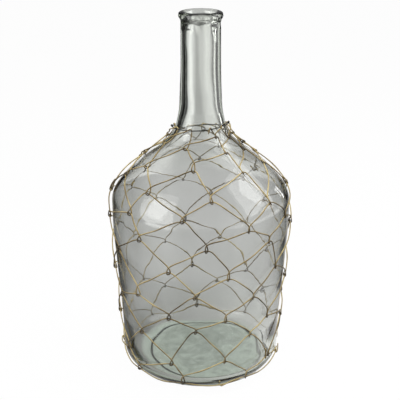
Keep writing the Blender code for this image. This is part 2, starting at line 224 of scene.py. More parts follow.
# The floor: how much of its white is its own glow, so that it shows little of the shadow, and its own finish
FLOOR_GLOW_SHARE = 0.96
FLOOR_COLOUR = (0.8, 0.8, 0.8, 1.0)
FLOOR_ROUGHNESS = 0.9
FLOOR_SIDES = 96
WHITE = (1.0, 1.0, 1.0, 1.0)
# The lamps: azimuth, elevation, distance, size and roll, the setting that holds their power, and their share
# of it. They point at a height on the bottle's axis.
LAMPS = {
    "left_softbox": (-61.0, 27.0, 1.3, (1.0, 1.0), 25.0, "left_lamp", 1.0),
    "left_middle": (-64.0, 33.0, 1.28, (0.5, 0.5), 0.0, "left_lamp", 0.25),
    "right_softbox": (93.0, 38.0, 1.3, (1.0, 1.0), -25.0, "right_lamp", 1.0),
    "right_middle": (98.0, 41.0, 1.28, (0.5, 0.5), 0.0, "right_lamp", 0.25),
    "right_strip": (131.0, 8.0, 1.3, (0.07, 0.30), 0.0, "strip_lamp", 1.0),
    "top_lamp": (40.0, 68.0, 1.5, (0.7, 0.7), 0.0, "top_lamp", 1.0),
}
LAMP_AIM_HEIGHT = 0.2
# The lamp that the glass does not show
UNSEEN_LAMP = "top_lamp"
SENSOR_WIDTH = 36.0
# How often light may pass through a wall of glass, be reflected and be scattered
GLASS_BOUNCES = 24
GLOSSY_BOUNCES = 12
DIFFUSE_BOUNCES = 4

# How fine the strands are
SMOOTH_STEPS = 12
CANE_SPACING = 0.0010
CANE_SIDES = 12
PLY_SPACING = 0.0006
PLY_SIDES = 8
# The chamfer at a strand's ends, as a share of its radius
CHAMFER_SHARE = 0.25

BLOWER_SEED = 7
WEAVER_SEED = 11
SMITH_SEED = 5


def length_setting(name, description, default):
    """A length that a user can change, in the scene's units."""
    return FloatProperty(name=name, description=description, default=default, unit="LENGTH")


def colour_setting(name, description, default):
    """A colour that a user can change."""
    return FloatVectorProperty(
        name=name, description=description, default=default, subtype="COLOR", min=0.0, max=1.0
    )


def power_setting(name, description, default):
    """A lamp's power that a user can change."""
    return FloatProperty(name=name, description=description, default=default, unit="POWER")


class GlassSettings(bpy.types.PropertyGroup):
    """Sizes and tint of the bottle."""

    foot_radius: length_setting("Foot radius", "Outer radius of the foot ring", 0.072)
    foot_width: length_setting("Foot width", "Width of the ring that the bottle stands on", 0.007)
    foot_shift: length_setting("Foot shift", "How far the foot stands off the axis, to the right", 0.0075)
    punt_height: length_setting("Punt height", "Height of the hollow under the bottle", 0.005)
    heel_radius: length_setting("Heel radius", "Radius where the heel meets the side", 0.1026)
    heel_height: length_setting("Heel height", "Height of the rounded heel", 0.026)
    belly_radius: length_setting("Belly radius", "The bottle's largest radius", GLASS_TOP.x)
    height: length_setting("Height", "The bottle's height to its rim", GLASS_TOP.z)
    shoulder_height: length_setting("Shoulder height", "Height from the belly to the neck's foot", 0.123)
    neck_radius: length_setting("Neck radius", "Outer radius at the top of the neck", 0.0241)
    neck_flare: length_setting("Neck flare", "How much wider the neck is at its foot", 0.0027)
    neck_length: length_setting("Neck length", "Height from the neck's foot to the lip", 0.1045)
    lip_height: length_setting("Lip height", "Height of the rounded lip", 0.0105)
    lip_proud: length_setting("Lip proud", "How far the lip stands out from the neck", 0.0025)
    rim_width: length_setting("Rim width", "Width of the flat rim on the lip", 0.0024)
    base_wall: length_setting("Base wall", "Thickness of the base", 0.010)
    body_wall: length_setting("Body wall", "Thickness of the side", 0.0038)
    neck_wall: length_setting("Neck wall", "Thickness of the neck", 0.0076)
    bore_shift: length_setting(
        "Bore shift", "How far the neck's bore stands off the axis, to the right", -0.0010
    )
    ripple: length_setting("Ripple", "Depth of the blown glass's unevenness", 0.0005)
    fold: length_setting("Fold", "Depth of the folds where the lip was laid on the neck", 0.0004)
    tint: colour_setting("Tint", "What the glass lets through most", (0.695, 0.72, 0.672))
    smoke: FloatProperty(
        name="Smoke", description="How strongly a metre of glass takes up the other colours",
        default=95.0, min=0.0,
    )


class NetSettings(bpy.types.PropertyGroup):
    """Sizes and colours of the cane and its hitches."""

    cane_diameter: length_setting("Cane diameter", "Thickness of the cane", 0.0015)
    clearance: length_setting("Clearance", "Gap between touching pieces", 0.0001)
    eye_half_width: length_setting("Eye half width", "Half the width of a hitch's eye", 0.0015)
    eye_length: length_setting("Eye length", "Length of a hitch's eye", 0.0085)
    crown_half_width: length_setting("Crown half width", "Half the level part of an arch", 0.0015)
    leg_lift: length_setting("Leg lift", "How far a leg bows off the glass", 0.0006)
    stub_length: length_setting("Stub length", "What sticks out where a cane ends", 0.006)
    splice_half_width: length_setting("Splice half width", "Half the gap between two canes' ends", 0.0029)
    slack: length_setting("Slack", "How far the net stands off the glass on its slack side", 0.0010)
    ring_sag: length_setting("Ring sag", "How far the heel ring sags between hitches", 0.005)
    sway: length_setting("Sway", "How far the cane wanders from its way", 0.0005)
    dark_colour: colour_setting(
        "Dark cane", "Colour of the cane's dark fibres and knots", (0.050, 0.034, 0.014)
    )
    middle_colour: colour_setting("Cane", "Colour of most of the cane", (0.235, 0.172, 0.070))
    light_colour: colour_setting(
        "Light cane", "Colour of the cane's palest stretches", (0.50, 0.405, 0.19)
    )


class WireSettings(bpy.types.PropertyGroup):
    """Sizes and colour of the wire round the neck's foot."""

    wire_diameter: length_setting("Wire diameter", "Thickness of both plies together", 0.0015)
    lay: length_setting("Lay", "Length of one turn of the plies", 0.006)
    rise: length_setting("Rise", "How far the wire lies above the net's top", 0.0010)
    dip: length_setting("Dip", "How far the wire dips at the front and back", 0.0015)
    tilt: length_setting("Tilt", "How far the wire rises on its high side", 0.0060)
    twist_length: length_setting("Twist length", "Length of the twisted ends", 0.0022)
    colour: colour_setting("Wire", "Colour of the wire's black skin", (0.012, 0.011, 0.010))


class StudioSettings(bpy.types.PropertyGroup):
    """The camera, the lamps and the floor."""

    camera_distance: length_setting("Camera distance", "From the bottle's axis to the camera", 0.970)
    camera_height: length_setting("Camera height", "Above the floor", 0.611)
    camera_side: length_setting("Camera side", "How far right of the axis the camera is", -0.0009)
    camera_pitch: FloatProperty(
        name="Camera pitch", description="How far the camera looks down",
        default=math.radians(21.79), subtype="ANGLE",
    )
    lens: FloatProperty(name="Lens", description="Focal length in millimetres", default=73.98)
    floor_radius: length_setting("Floor radius", "From the bottle to the floor's edge", 14.0)
    left_lamp: power_setting("Left lamp", "Power of the soft lamp on the left", 6.5)
    right_lamp: power_setting("Right lamp", "Power of the soft lamp on the right", 5.6)
    strip_lamp: power_setting("Strip lamp", "Power of the narrow lamp behind on the right", 0.35)
    top_lamp: power_setting("Top lamp", "Power of the lamp above, which lights the cane", 12.0)


def smooth_step(share):
    """0 to 1 with no slope at either end: 3 share squared less 2 share cubed."""
    share = np.clip(share, 0, 1)
    return share * share * (3 - 2 * share)


def smooth_through(points, steps, gaps=None):
    """Points on a smooth curve through the given ones, `steps` to each stretch.

    Each stretch is a cubic of its two points and their neighbours: a pyramid of linear blends between points
    whose knots lie the square root of their distance apart.
    """
    points = np.asarray(points, float)
    ends = np.vstack([2 * points[0] - points[1], points, 2 * points[-1] - points[-2]])
    if gaps is None:
        gaps = np.linalg.norm(np.diff(points, axis=0), axis=1)
    roots = np.sqrt(np.concatenate([gaps[:1], gaps, gaps[-1:]]))[:, None, None]
    count = len(points) - 1
    p0, p1, p2, p3 = (ends[step:step + count, None, :] for step in range(4))
    t0 = 0.0
    t1 = roots[:count]
    t2 = t1 + roots[1:count + 1]
    t3 = t2 + roots[2:]
    at = t1 + (t2 - t1) * np.linspace(0, 1, steps, endpoint=False)[None, :, None]

    def blend(low, high, start, end):
        return (low * (end - at) + high * (at - start)) / (end - start)

    a1, a2, a3 = blend(p0, p1, t0, t1), blend(p1, p2, t1, t2), blend(p2, p3, t2, t3)
    curve = blend(blend(a1, a2, t0, t2), blend(a2, a3, t1, t3), t1, t2)
    return np.vstack([curve.reshape(-1, points.shape[1]), points[-1:]])


def distances(points):
    """The distance along a polyline to each of its points."""
    return np.concatenate([[0.0], np.cumsum(np.linalg.norm(np.diff(points, axis=0), axis=1))])


def spaced(points, spacing):
    """Points evenly spaced along a polyline, read from it by distance."""
    along = distances(points)
    places = np.linspace(0, along[-1], max(2, round(along[-1] / spacing) + 1))
    return np.column_stack([np.interp(places, along, axis) for axis in points.T])


def waves(random, places, lengths, count=3):
    """A smooth random field between about -1 and 1: sines of the places, `count` for each wave length."""
    places = np.atleast_2d(np.asarray(places, float).T).T
    total = 0.0
    for length in lengths:
        ways = random.normal(size=(places.shape[1], count))
        ways /= np.linalg.norm(ways, axis=0)
        starts = random.uniform(0, math.tau, count)
        total = total + np.sin(places @ ways * math.tau / length + starts).sum(axis=1)
    return total / math.sqrt(count * len(lengths))


def crossed_frames(path):
    """The tangents of a path, and two crossed spokes at each point that turn no more than the path does.

    Any spoke square to the tangent will do at first. Its angle to the one carried over from the point
    before, by the least rotation between their tangents, is taken out again as a running sum.
    """
    tangents = np.gradient(path, axis=0)
    tangents /= np.linalg.norm(tangents, axis=1)[:, None]
    least = np.eye(3)[np.abs(tangents).argmin(axis=1)]
    first = np.cross(tangents, least)
    first /= np.linalg.norm(first, axis=1)[:, None]
    second = np.cross(tangents, first)
    axis = np.cross(tangents[:-1], tangents[1:])
    cosine = (tangents[:-1] * tangents[1:]).sum(axis=1)[:, None]
    turned = np.cross(axis, first[:-1])
    carried = first[:-1] + turned + np.cross(axis, turned) / (1 + cosine)
    steps = np.arctan2((carried * second[1:]).sum(axis=1), (carried * first[1:]).sum(axis=1))
    turn = np.concatenate([[0.0], np.cumsum(steps)])[:, None]
    spoke = np.cos(turn) * first + np.sin(turn) * second
    return tangents, spoke, np.cross(tangents, spoke)


def tube_grid(path, radii, sides, flat=0.0):
    """A strand: circles carried along a path on its crossed spokes, chamfered at both ends.

    `flat` makes them ovals, whose long way turns slowly along the strand.
    """
    tangents, spoke, other = crossed_frames(path)
    first, last = (CHAMFER_SHARE * radii[end] * tangents[end] for end in (0, -1))
    path = np.vstack([path[0], path[0] + first, path[1:-1], path[-1] - last, path[-1]])
    narrow = (1 - CHAMFER_SHARE) * radii[[0, -1]]
    radii = np.concatenate([narrow[:1], radii, narrow[1:]])
    spoke, other = (np.vstack([way[:1], way, way[-1:]]) for way in (spoke, other))
    turn = np.linspace(0, math.tau, sides, endpoint=False)
    lean = np.linspace(0, len(path) / sides, len(path))
    oval = 1 + flat * np.cos(2 * (turn[None, :] - lean[:, None]))
    spokes = np.cos(turn)[None, :, None] * spoke[:, None] + np.sin(turn)[None, :, None] * other[:, None]
    return path[:, None] + (radii[:, None] * oval)[:, :, None] * spokes


def wrapped_mesh(name, grids, material, shades=None):
    """One object from grids of points whose columns close round, each shut at both ends by a pole.

    The UV map holds the share of the way round and the distance along in metres. `shades` are values for the
    grids' rows, kept as the point attribute "knot".
    """
    points, quads, corners, uvs, values = [], [], [], [], []
    base = 0
    for number, grid in enumerate(grids):
        rows, columns = grid.shape[:2]
        along = distances(grid.mean(axis=1)) if shades is not None else distances(grid[:, 0])
        index = base + np.arange(rows * columns).reshape(rows, columns)
        after = np.roll(index, -1, axis=1)
        quads.append(np.stack([index[:-1], after[:-1], after[1:], index[1:]], axis=-1).reshape(-1, 4))
        low, high = (np.broadcast_to(way[:, None], (rows - 1, columns)) for way in (along[:-1], along[1:]))
        left = np.broadcast_to(np.arange(columns) / columns, (rows - 1, columns))
        right = left + 1 / columns
        uvs.append(np.stack([left, low, right, low, right, high, left, high], axis=-1).reshape(-1, 8))
        first, last = base + rows * columns, base + rows * columns + 1
        corners.append(np.column_stack([np.full(columns, first), after[0], index[0]]))
        corners.append(np.column_stack([np.full(columns, last), index[-1], after[-1]]))
        points += [grid.reshape(-1, 3), grid[:1].mean(axis=1), grid[-1:].mean(axis=1)]
        if shades is not None:
            rows_shade = np.repeat(shades[number], columns)
            values += [rows_shade, shades[number][:1], shades[number][-1:]]
        base += rows * columns + 2
    points, quads, corners, uvs = (np.concatenate(part) for part in (points, quads, corners, uvs))
    mesh = bpy.data.meshes.new(name)
    mesh.vertices.add(len(points))
    mesh.vertices.foreach_set("co", points.ravel())
    mesh.loops.add(4 * len(quads) + 3 * len(corners))
    mesh.loops.foreach_set("vertex_index", np.concatenate([quads.ravel(), corners.ravel()]))
    sizes = np.concatenate([np.full(len(quads), 4), np.full(len(corners), 3)])
    mesh.polygons.add(len(sizes))
    mesh.polygons.foreach_set("loop_start", np.concatenate([[0], np.cumsum(sizes)[:-1]]))
    layer = mesh.uv_layers.new(name="UVMap")
    layer.data.foreach_set("uv", np.concatenate([uvs.ravel(), np.zeros(6 * len(corners))]))
    if values:
        mesh.attributes.new("knot", "FLOAT", "POINT").data.foreach_set("value", np.concatenate(values))
    mesh.update(calc_edges=True)
    mesh.validate()
    mesh.shade_smooth()
    mesh.materials.append(material)
    piece = bpy.data.objects.new(name, mesh)
    bpy.context.scene.collection.objects.link(piece)
    return piece


def dress(piece, node):
    """Puts a piece in the place of its solid, which it hides, and ties it to the root."""
    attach(piece, "root")
    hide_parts(node)


class Side:
    """The glass's outer side as a smooth curve of radius and height, read by the distance along it."""

    def __init__(self, glass):
        turn = np.linspace(0, math.pi / 2, HEEL_POINTS + 1)
        heel = np.column_stack([
            glass.foot_radius + (glass.heel_radius - glass.foot_radius) * np.sin(turn),
            glass.heel_height * (1 - np.cos(turn)),
        ])
        neck_foot = glass.neck_radius + glass.neck_flare
        self.lip_foot = glass.height - glass.lip_height
        shoulder_foot = self.lip_foot - glass.neck_length - glass.shoulder_height
        share = np.arange(1, SIDE_POINTS + 1) / SIDE_POINTS
        side = np.column_stack([
            glass.heel_radius + (glass.belly_radius - glass.heel_radius) * smooth_step(share),
            glass.heel_height + (shoulder_foot - glass.heel_height) * share,
        ])
        shoulder = np.array(SHOULDER_SHARES) * (glass.belly_radius - neck_foot, glass.shoulder_height)
        shoulder += (neck_foot, shoulder_foot)
        share = np.arange(1, NECK_POINTS + 1) / NECK_POINTS
        neck = np.column_stack([
            glass.neck_radius + glass.neck_flare * (1 - share) ** 3,
            self.lip_foot - glass.neck_length * (1 - share),
        ])
        self.points = relaxed(smooth_through(np.vstack([heel, side, shoulder, neck]), OUTLINE_STEPS))
        self.along = distances(self.points)
        slope = np.gradient(self.points, self.along, axis=0)
        slope /= np.linalg.norm(slope, axis=1)[:, None]
        self.normals = np.column_stack([slope[:, 1], -slope[:, 0]])
        wire_height = shoulder_foot + glass.shoulder_height * WIRE_PLACE_SHARE
        self.net_length = float(np.interp(wire_height, self.points[:, 1], self.along))

    def on_glass(self, places):
        """Points for rows of angle, distance along the glass and distance off it."""
        angle, along, off = np.asarray(places, float).T
        radius, height, out, up = (
            np.interp(along, self.along, column) for column in (*self.points.T, *self.normals.T)
        )
        reach = radius + off * out
        turn = np.radians(angle)
        return np.column_stack([reach * np.sin(turn), -reach * np.cos(turn), height + off * up])

    def beside(self, angle, along, across):
        """The angle that lies a distance across, to the right, of an angle at this height."""
        return angle + math.degrees(across / float(np.interp(along, self.along, self.points[:, 0])))


def relaxed(points):
    """The same points, each drawn towards the middle of its neighbours a few times over."""
    for _ in range(RELAX_ROUNDS):
        points = np.vstack([points[:1], (points[:-2] + 2 * points[1:-1] + points[2:]) / 4, points[-1:]])
    return points


def bottle_outline(glass, side):
    """The bottle's whole outline: under it, up the outside, over the lip, down the inside and across."""
    foot = glass.foot_radius - glass.foot_width
    bore = glass.neck_radius - glass.neck_wall
    rim_middle = (bore + glass.neck_radius + glass.lip_proud) / 2
    rim_inner = rim_middle - glass.rim_width / 2
    under = np.linspace(0, foot, UNDER_ROWS + 1)[1:]
    punt = np.column_stack([under, glass.punt_height * (1 - (under / foot) ** 2)])
    outer = np.array(LIP_OUTER_SHARES) * (glass.lip_proud, glass.lip_height)
    outer += (glass.neck_radius, side.lip_foot)
    inner = np.array(LIP_INNER_SHARES) * (rim_inner - bore, glass.lip_height) + (bore, side.lip_foot)
    walls = np.interp(
        side.along, np.multiply(WALL_PLACE_SHARES, side.along[-1]),
        (glass.base_wall, glass.body_wall, glass.body_wall, glass.neck_wall),
    )
    inside = (side.points - side.normals * walls[:, None])[::-1]
    rim = [(rim_inner + glass.rim_width, glass.height), (rim_inner, glass.height)]
    lip = smooth_through(np.vstack([outer, rim, inner, inside[:1]]), OUTLINE_STEPS // 2)
    middle = punt[::-1] + (0, glass.base_wall)
    base = smooth_through(np.vstack([inside[-3:], middle[UNDER_ROWS // 3:]]), 2)
    return np.vstack([punt, side.points[:-1], lip, inside[1:-3], base])


def blown(glass, side, outline, random):
    """The outline turned round the axis, uneven as blown glass is.

    Broad waves press the outside in and move the inside either way. Small folds lie under the lip. Near the
    floor the foot slides off the axis, and the inside goes a share of the way with it. In the neck the bore
    stands off the axis too.
    """
    turn = np.linspace(0, math.tau, RING_COLUMNS, endpoint=False)
    radius, height = outline.T
    slope = np.gradient(outline, distances(outline), axis=0)
    slope /= np.linalg.norm(slope, axis=1)[:, None]
    circle = np.column_stack([np.cos(turn), np.sin(turn)])
    points = np.empty((len(outline), RING_COLUMNS, 3))
    points[:, :, :2] = radius[:, None, None] * circle
    points[:, :, 2] = height[:, None]
    field = waves(random, points.reshape(-1, 3), RIPPLE_LENGTHS).reshape(points.shape[:2])
    rim = int(outline[:, 1].argmax())
    inside = np.arange(len(outline)) > rim
    outside_press = -OUTSIDE_RIPPLE_SHARE * (1 + np.clip(field, -1, 1))
    press = np.where(inside[:, None], INSIDE_RIPPLE_SHARE * field, outside_press)
    easing = smooth_step(height / glass.heel_height)
    easing *= smooth_step((side.lip_foot - height) / glass.lip_height)
    press *= glass.ripple * easing[:, None]
    collar = smooth_step((height - side.lip_foot + FOLD_REACH) / FOLD_REACH)
    collar *= smooth_step((side.lip_foot + FOLD_REACH / 2 - height) / FOLD_REACH * 2)
    folds = waves(random, points.reshape(-1, 3), FOLD_LENGTHS).reshape(points.shape[:2])
    press += glass.fold * folds * collar[:, None]
    points[:, :, :2] += (press * slope[:, 1:])[:, :, None] * circle
    points[:, :, 2] -= press * slope[:, :1]
    reach = np.where(inside, INSIDE_SLIDE_REACH, FOOT_SLIDE_REACH)
    slide = glass.foot_shift * np.where(inside, INSIDE_SLIDE_SHARE, 1.0)
    points[:, :, 0] += (slide * (1 - smooth_step(height / reach)))[:, None]
    neck_share = smooth_step((height - side.lip_foot + glass.neck_length) / glass.neck_length * 2)
    points[:, :, 0] += glass.bore_shift * np.where(inside, neck_share * easing, 0.0)[:, None]
    return points


class Net:
    """The net's hitches and canes, as places on the glass."""

    def __init__(self, side, net, wire):
        self.side, self.net, self.wire = side, net, wire
        self.length = side.net_length
        self.cane_wrap = net.cane_diameter + net.clearance
        self.wire_wrap = (net.cane_diameter + wire.wire_diameter) / 2 + net.clearance
        self.lowest = net.cane_diameter / 2 + net.clearance
        self.wire_off = self.lowest + self.wire_wrap
        self.hitches = self.all_hitches()

    def all_hitches(self):
        """The hitches in the spiral's order, as angle, height along the glass and eye length.

        The angles run down.
        """
        seen = [
            [(angle - FULL_TURN * turn, share, eye) for angle, share, eye in row]
            for turn, (row, _) in enumerate(TURN_SHARES)
        ]
        shares = []
        for turn, row in enumerate(seen):
            shares.extend(row)
            hidden = TURN_SHARES[turn][1]
            for step in range(1, hidden + 1):
                part = step / (hidden + 1)
                first, second = row[-1], seen[turn + 1][0]
                height = RING_SHARE if turn == 0 else first[1] + (second[1] - first[1]) * part
                shares.append((first[0] + (second[0] - first[0]) * part, height, HIDDEN_EYE_SHARE))
        return [(angle, share * self.length, eye * self.net.eye_length) for angle, share, eye in shares]

    def cane_off(self, angle, along):
        """How far off the glass a crown is: room for a wrap behind it, and more on the net's slack side."""
        places = np.multiply(SLACK_PLACE_SHARES, self.length)
        share = float(np.interp(along, places, (0.0, 1.0, 1.0, 0.0)))
        slack = share * max(0.0, math.cos(math.radians(angle - SLACK_ANGLE))) ** 2
        return self.lowest + self.cane_wrap + self.net.slack * slack

    def wire_along(self, angle):
        """The wire's height along the glass. It is tilted, and dips at the front and back."""
        tilt = self.wire.tilt * math.cos(math.radians(angle - WIRE_TILT_ANGLE))
        return self.length + self.wire.rise + tilt - self.wire.dip * math.cos(2 * math.radians(angle))

    def ring_along(self, angle):
        """The heel ring's height along the glass. It is level at each hitch on it and sags between them."""
        places = sorted(hitch[0] % FULL_TURN for hitch in self.hitches[:HITCHES_PER_TURN])
        places = [places[-1] - FULL_TURN, *places, places[0] + FULL_TURN]
        share = float(np.interp(angle % FULL_TURN, places, range(len(places))))
        return RING_SHARE * self.length - self.net.ring_sag * math.sin(math.pi * share) ** 2

    def wrap_route(self, angle, along, off, radius, up):
        """Half a turn round a strand: `up` is -1 to go down outside it and up behind, 1 the other way."""
        turns = [math.pi * step / WRAP_STEPS for step in range(WRAP_STEPS + 1)]
        return [
            (
                self.side.beside(angle, along, up * self.net.eye_half_width * math.cos(turn)),
                along + up * radius * math.sin(turn),
                off - up * radius * math.cos(turn),
            )
            for turn in turns
        ]

    def hitch_place(self, number, shift=0.0):
        """A hitch's angle, height along the glass and distance off it, and its eye's length."""
        angle, along, eye = self.hitches[number]
        return self.side.beside(angle, along, shift), along, self.cane_off(angle, along), eye

    def hitch_route(self, number, shift=0.0):
        """Down to a hitch's eye, round the crown under it and up again. The ends cross at the eye's top."""
        angle, along, off, eye = self.hitch_place(number, shift)
        front, back = (off + self.cane_wrap * share for share in CROSSING_SHARES)
        wrap = self.wrap_route(angle, along, off, self.cane_wrap, -1)
        return [(angle, along + eye, front), *wrap, (angle, along + eye, back)]

    def crown_route(self, number):
        """The level crown of an arch, where hitch `number` hangs on it."""
        angle, along, off, _ = self.hitch_place(number)
        half = CROWN_HALF_ANGLE + self.side.beside(0.0, along, self.net.crown_half_width)
        return [(angle + half, along, off), (angle - half, along, off)]

    def hook_route(self, number):
        """Up behind the wire, over it and down outside it, after hitch `number`."""
        angle = self.hitches[number][0] + ODD_HOOK_LEAD_ANGLES.get(number, HOOK_LEAD_ANGLE)
        return self.wrap_route(angle, self.wire_along(angle), self.wire_off, self.wire_wrap, 1)

    def leg_middle(self, start, end):
        """The middle of an arch's leg, bowed upwards and off the glass."""
        angle, along, off = ((a + b) / 2 for a, b in zip(start, end))
        return (angle, along + LEG_BOW_SHARE * abs(end[1] - start[1]), off + self.net.leg_lift)

    def arch_route(self, number):
        """The arch from a hitch to the next: up to its crown, or to its hook over the wire, and down."""
        after = number + HITCHES_PER_TURN
        if after < len(self.hitches):
            crown = [(place[0] + FULL_TURN, *place[1:]) for place in self.crown_route(after)]
            crown.insert(0, self.leg_middle(self.hitch_route(number)[-1], crown[0]))
        else:
            crown = self.hook_route(number)
        return [*crown, self.leg_middle(crown[-1], self.hitch_route(number + 1)[0])]

    def cane_route(self, first, last):
        """One cane, from its start at hitch `first` to its end at hitch `last`."""
        top = len(self.hitches) - 1
        net, beside = self.net, self.side.beside
        route = self.hitch_route(first, -net.splice_half_width if first else 0.0)
        angle, along, off = route[0]
        route[0] = (beside(angle, along, -net.eye_half_width), along + net.stub_length, off)
        for number in range(first, last):
            if number + HITCHES_PER_TURN > top:
                route.pop()
            route.extend(self.arch_route(number))
            spliced = number + 1 == last < top
            route.extend(self.hitch_route(number + 1, net.splice_half_width if spliced else 0.0))
        route.pop()
        if last == top:
            route.extend(self.hook_route(last))
            angle, along, off = route[-1]
            route.append((beside(angle, along, -net.eye_half_width), along - net.stub_length, off))
        else:
            angle, along, off = route[-1]
            end = beside(angle, along, net.eye_half_width)
            route.append((end, along + net.stub_length, off + net.leg_lift))
        return route

    def ring_route(self):
        """The ring round the heel, from its start to the half hitch that ties its end round that start."""
        hitches = self.hitches
        turns = [hitch[0] for hitch in hitches[2:HITCHES_PER_TURN]]
        turns += [hitches[0][0] - FULL_TURN, hitches[1][0] - FULL_TURN]
        angles = [RING_START_ANGLE, RING_TIE_ANGLE]
        for before, after in zip([RING_TIE_ANGLE, *turns[:-1]], turns):
            angles.extend(np.linspace(before, after, RING_STEPS + 1)[1:])
        heights = [self.ring_along(angle) for angle in angles]
        route = [(angle, along, self.cane_off(angle, along)) for angle, along in zip(angles, heights)]
        for angle in (RING_START_ANGLE, (RING_START_ANGLE + RING_TIE_ANGLE) / 2):
            along = self.ring_along(angle) + self.cane_wrap
            route.append((angle - FULL_TURN, along, self.cane_off(angle, along)))
        along = self.ring_along(RING_TIE_ANGLE)
        tie_angle = RING_TIE_ANGLE - FULL_TURN
        tie = self.wrap_route(tie_angle, along, self.cane_off(RING_TIE_ANGLE, along), self.cane_wrap, -1)
        tie = [(2 * tie_angle - angle, along, off) for angle, along, off in tie]
        angle, along, off = tie[-1]
        return [*route, *tie, (angle, along + self.net.stub_length, off)]

    def strand(self, route):
        """A fine path along a route: a smooth curve through its places, which wanders a little."""
        places = np.array(route)
        gaps = np.linalg.norm(np.diff(self.side.on_glass(places), axis=0), axis=1)
        fine = smooth_through(places, SMOOTH_STEPS, gaps)
        random = np.random.default_rng(WEAVER_SEED)
        points = self.side.on_glass(fine)
        across = self.net.sway * waves(random, points, SWAY_LENGTHS)
        fine[:, 0] += np.degrees(across / np.hypot(*points.T[:2]))
        fine[:, 1] += self.net.sway * waves(random, points, SWAY_LENGTHS)
        return spaced(self.side.on_glass(fine), CANE_SPACING)

    def knot_stain_and_shade(self, path):
        """How near each point of a path is to a hitch, as a bell curve that is 1 at the hitch: where the
        cane has stain and painted shade.
        """
        places = np.array(self.hitches)
        places[:, 2] = [self.cane_off(angle, along) for angle, along, _ in self.hitches]
        reach = np.linalg.norm(path[:, None] - self.side.on_glass(places)[None], axis=2).min(axis=1)
        return np.exp(-(reach / (KNOT_STAIN_AND_SHADE_WRAPS * self.cane_wrap)) ** 2)

    def wire_joint(self, angle):
        """Where the wire's halves meet, the way their twisted ends point, and the wire's own way there."""
        foot = self.side.on_glass([(angle, self.wire_along(angle), self.wire_off)])[0]
        out = np.array([math.sin(math.radians(angle)), -math.cos(math.radians(angle)), 0.0])
        axis = out * TWIST_LEAN + np.array([0.0, 0.0, 1.0])
        return foot, axis / np.linalg.norm(axis), np.array([-out[1], out[0], 0.0])

    def twisted_end(self, angle, side):
        """One wire's end at a joint: a helix round the twist's axis that starts on the wire's own side."""
        foot, axis, along = self.wire_joint(angle)
        across = np.cross(axis, along)
        share = np.linspace(0, 1, TWIST_STEPS + 1)[:, None]
        turn = math.tau * TWIST_TURNS * share
        radius = (self.wire.wire_diameter + self.net.clearance) / 2
        spoke = along * np.cos(turn) + across * np.sin(turn)
        rise = self.wire.twist_length * share + self.wire.wire_diameter / 2
        return foot + axis * rise + spoke * radius * side

    def wire_path(self, start, end):
        """Half of the neck wire, from its twisted end at one joint to that at the other."""
        side = 1 if end > start else -1
        angles = np.linspace(
            start + side * WIRE_JOINT_HALF_ANGLE, end - side * WIRE_JOINT_HALF_ANGLE, WIRE_STEPS
        )
        middle = self.side.on_glass([(angle, self.wire_along(angle), self.wire_off) for angle in angles])
        points = np.vstack([self.twisted_end(start, side)[::-1], middle, self.twisted_end(end, -side)])
        return spaced(smooth_through(points, SMOOTH_STEPS), PLY_SPACING)


def fill_inputs(tree, node, inputs):
    """Gives a node's inputs their values. A value that is a socket is linked."""
    for key, value in inputs.items():
        if isinstance(value, bpy.types.NodeSocket):
            tree.links.new(value, node.inputs[key])
        else:
            node.inputs[key].default_value = value


def add_node(tree, kind, inputs=None, **settings):
    """A shader node with its settings and the values of its inputs."""
    made = tree.nodes.new(kind)
    for key, value in settings.items():
        setattr(made, key, value)
    fill_inputs(tree, made, inputs or {})
    return made


def math_value(tree, operation, *values):
    """What a Math node works out from its values."""
    return add_node(tree, "ShaderNodeMath", dict(enumerate(values)), operation=operation).outputs["Value"]


def vector_math(tree, operation, *values):
    """What a Vector Math node works out from its values: a vector and a number."""
    return add_node(tree, "ShaderNodeVectorMath", dict(enumerate(values)), operation=operation).outputs


def mapped(tree, value, source, target=(0.0, 1.0), kind="LINEAR"):
    """A value moved from one range onto another, and kept inside it."""
    ranges = {"From Min": source[0], "From Max": source[1], "To Min": target[0], "To Max": target[1]}
    made = add_node(tree, "ShaderNodeMapRange", {"Value": value, **ranges}, interpolation_type=kind)
    return made.outputs["Result"]


def noise(tree, place, scale, detail, roughness=0.5, distortion=0.0):
    """A cloudy pattern between 0 and 1."""
    inputs = {"Scale": scale, "Detail": detail, "Roughness": roughness, "Distortion": distortion}
    return add_node(tree, "ShaderNodeTexNoise", {"Vector": place, **inputs}).outputs["Fac"]


def scaled(tree, place, scale):
    """A place with its axes stretched."""
    return add_node(tree, "ShaderNodeMapping", {"Vector": place, "Scale": scale}).outputs["Vector"]


def bumped(tree, height, strength, distance):
    """The skin's normal where a pattern raises it, by at most a distance."""
    inputs = {"Height": height, "Strength": strength, "Distance": distance}
    return add_node(tree, "ShaderNodeBump", inputs).outputs["Normal"]


def add_ramp(tree, factor, stops):
    """A colour ramp with the given (position, colour) stops."""
    made = add_node(tree, "ShaderNodeValToRGB", {"Fac": factor})
    elements = made.color_ramp.elements
    while len(elements) < len(stops):
        elements.new(1.0)
    for element, (position, colour) in zip(elements, stops):
        element.position = position
        element.color = (*colour, 1.0)
    return made.outputs["Color"]


def blended(tree, factor, low, high):
    """A blend of two colours: the first where the factor is 0, the second where it is 1."""
    return add_node(tree, "ShaderNodeMix", {"Factor": factor, 6: low, 7: high}, data_type="RGBA").outputs[2]


def mixed_shaders(tree, factor, low, high):
    """A blend of two shaders: the first where the factor is 0, the second where it is 1."""
    return add_node(tree, "ShaderNodeMixShader", {0: factor, 1: low, 2: high}).outputs["Shader"]


def glowing(tree, colour, strength):
    """A shader that gives light."""
    return add_node(tree, "ShaderNodeEmission", {"Color": colour, "Strength": strength}).outputs["Emission"]


def blank_material(name):
    """A new material, its node tree and its shader."""
    material = bpy.data.materials.new(name)
    material.use_nodes = True
    return material, material.node_tree, material.node_tree.nodes["Principled BSDF"]


